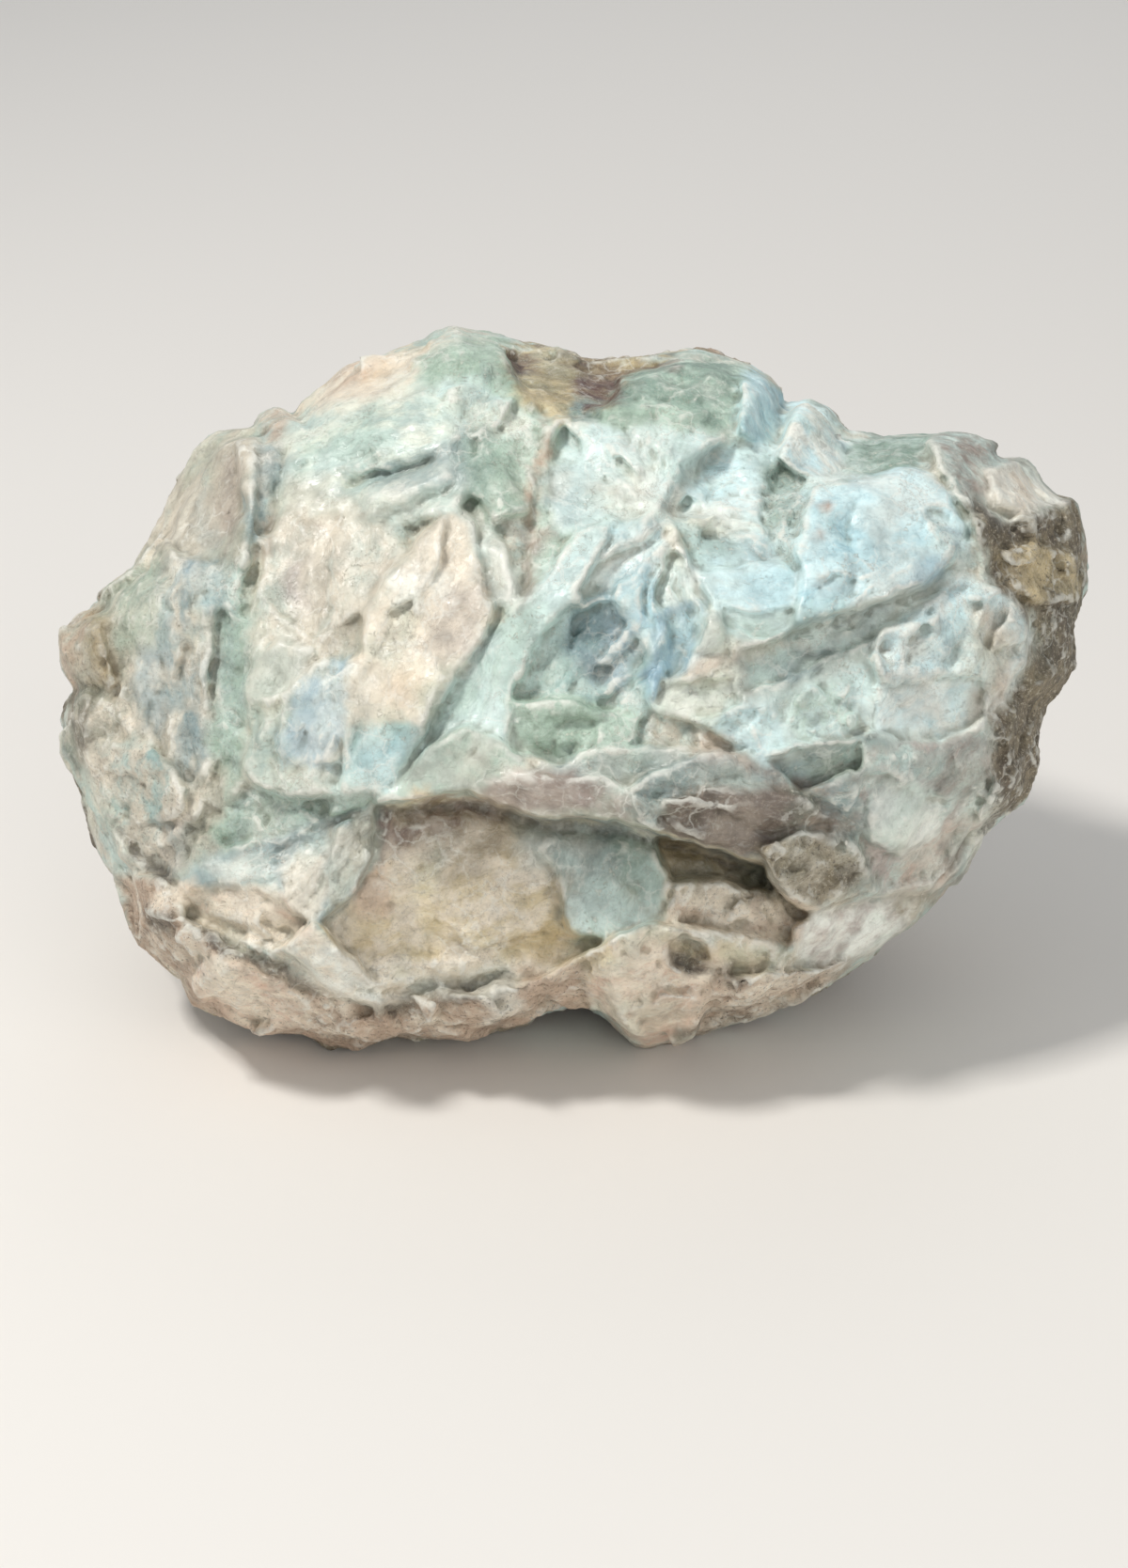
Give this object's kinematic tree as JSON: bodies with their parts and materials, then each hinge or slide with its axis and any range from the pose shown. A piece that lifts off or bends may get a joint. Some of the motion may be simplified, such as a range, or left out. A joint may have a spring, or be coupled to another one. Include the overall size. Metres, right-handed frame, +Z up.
{
  "type": "rough larimar",
  "caption": "Rough lump of pale blue and green larimar with a hollow under a long lip, still on its brown host rock.",
  "frame": {"origin": "centre of the footprint of the stone's box, on the surface it rests on", "axes": "+Z up, +X to the right as seen from the show side, -Y towards the viewer of the show side"},
  "size_m": [0.1104, 0.0735, 0.0698],
  "materials": {
    "larimar": "rough break, waxy on its flat faces and gritty on its host rock"
  },
  "bodies": {
    "root": {"larimar": "larimar"}
  },
  "joints": []
}
